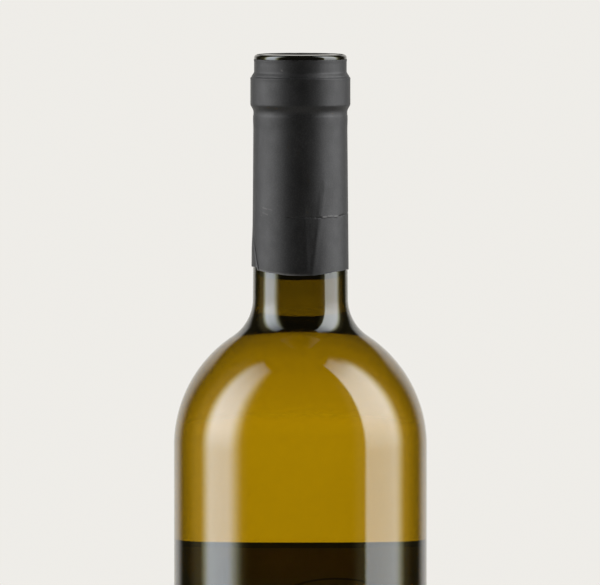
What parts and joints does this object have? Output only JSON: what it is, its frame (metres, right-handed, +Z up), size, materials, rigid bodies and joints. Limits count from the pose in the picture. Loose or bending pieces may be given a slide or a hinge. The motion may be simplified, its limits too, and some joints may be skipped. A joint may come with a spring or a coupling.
{
  "type": "wine bottle",
  "caption": "Full, shut green glass wine bottle with straight sides, a high shoulder, a punt, a matte black neck capsule and a dark label.",
  "frame": {"origin": "centre of the ring that the bottle stands on, on the bottle's axis", "axes": "+Z up the bottle's axis towards the mouth, label centred on +Y"},
  "size_m": [0.076, 0.0761, 0.3002],
  "materials": {
    "bottle_glass": "olive green bottle glass, polished",
    "wine": "clear pale yellow white wine",
    "capsule_skirt": "matte black, finely wrinkled",
    "capsule_disc": "glossy black",
    "label_paper": "dark uncoated paper with plain black lines"
  },
  "bodies": {
    "root": {"bottle": "bottle_glass", "wine": "wine", "capsule": "capsule_skirt", "capsule_disc": "capsule_disc", "label": "label_paper"}
  },
  "joints": []
}
